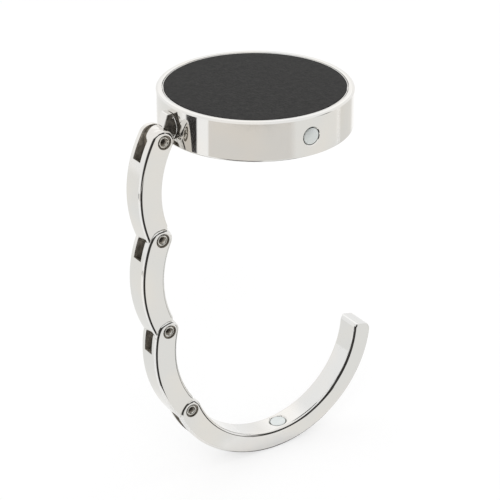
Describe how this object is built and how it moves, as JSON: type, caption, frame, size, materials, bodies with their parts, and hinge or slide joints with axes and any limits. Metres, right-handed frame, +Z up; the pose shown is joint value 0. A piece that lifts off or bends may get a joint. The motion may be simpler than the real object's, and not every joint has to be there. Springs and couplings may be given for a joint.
{
  "type": "purse hook",
  "caption": "Folding purse hook: a round inlaid puck rests on a table top, and a jointed curved hook on a rim swivel hangs below it and folds round it into a bangle.",
  "frame": {"origin": "centre of the rubber pad's underside, where the puck rests on the table top", "axes": "+Z up through the puck, -X towards the swivel at the rim, and the open hook hangs in the XZ plane and curls towards +X"},
  "size_m": [0.0652, 0.045, 0.0965],
  "materials": {
    "plated_body": "polished bright plating on die-cast zinc",
    "plated_chain": "polished bright plating on die-cast zinc",
    "tray_steel": "bright turned edge",
    "plain_steel": "plain bright steel",
    "rivet_steel": "nickel-plated tubular rivet",
    "magnet_nickel": "satin nickel plating on a sintered magnet",
    "black_leather": "fine pebble grain, semi-matt",
    "black_rubber": "matt, non-slip",
    "white_nylon": "plain moulded",
    "adhesive_film": "double-sided film"
  },
  "bodies": {
    "puck": {"puck_body": "plated_body", "inlay_tray": "tray_steel", "leather_inlay": "black_leather", "inlay_adhesive": "adhesive_film", "tray_adhesive": "adhesive_film", "base_plate": "plain_steel", "pad_adhesive": "adhesive_film", "base_pad": "black_rubber", "rim_magnet_front": "magnet_nickel", "rim_magnet_rear": "magnet_nickel", "swivel_washer": "white_nylon", "spring_washer": "plain_steel"},
    "swivel": {"swivel_block": "plated_chain", "swivel_collar": "plain_steel"},
    "first_link": {"link_1": "plated_chain", "hinge_rivet_1": "rivet_steel"},
    "second_link": {"link_2": "plated_chain", "hinge_rivet_2": "rivet_steel", "link_magnet": "magnet_nickel"},
    "third_link": {"link_3": "plated_chain", "hinge_rivet_3": "rivet_steel"},
    "arm": {"hook_arm": "plated_chain", "hinge_rivet_4": "rivet_steel", "hook_magnet": "magnet_nickel"}
  },
  "joints": [
    {"name": "swivel_turn", "type": "hinge", "parent": "puck", "child": "swivel", "pos_m": [-0.0225, 0, 0.0052], "axis": [-1, 0, 0], "range_deg": [-90, 90]},
    {"name": "hinge_1", "type": "hinge", "parent": "swivel", "child": "first_link", "pos_m": [-0.02589, 0, 0.0028], "axis": [0, -1, 0], "range_deg": [0, 34.9]},
    {"name": "hinge_2", "type": "hinge", "parent": "first_link", "child": "second_link", "pos_m": [-0.02687, 0, -0.02099], "axis": [0, -1, 0], "range_deg": [0, 49.2]},
    {"name": "hinge_3", "type": "hinge", "parent": "second_link", "child": "third_link", "pos_m": [-0.02564, 0, -0.04477], "axis": [0, -1, 0], "range_deg": [0, 43.5]},
    {"name": "hinge_4", "type": "hinge", "parent": "third_link", "child": "arm", "pos_m": [-0.0199, 0, -0.06787], "axis": [0, -1, 0], "range_deg": [0, 19.3]}
  ]
}
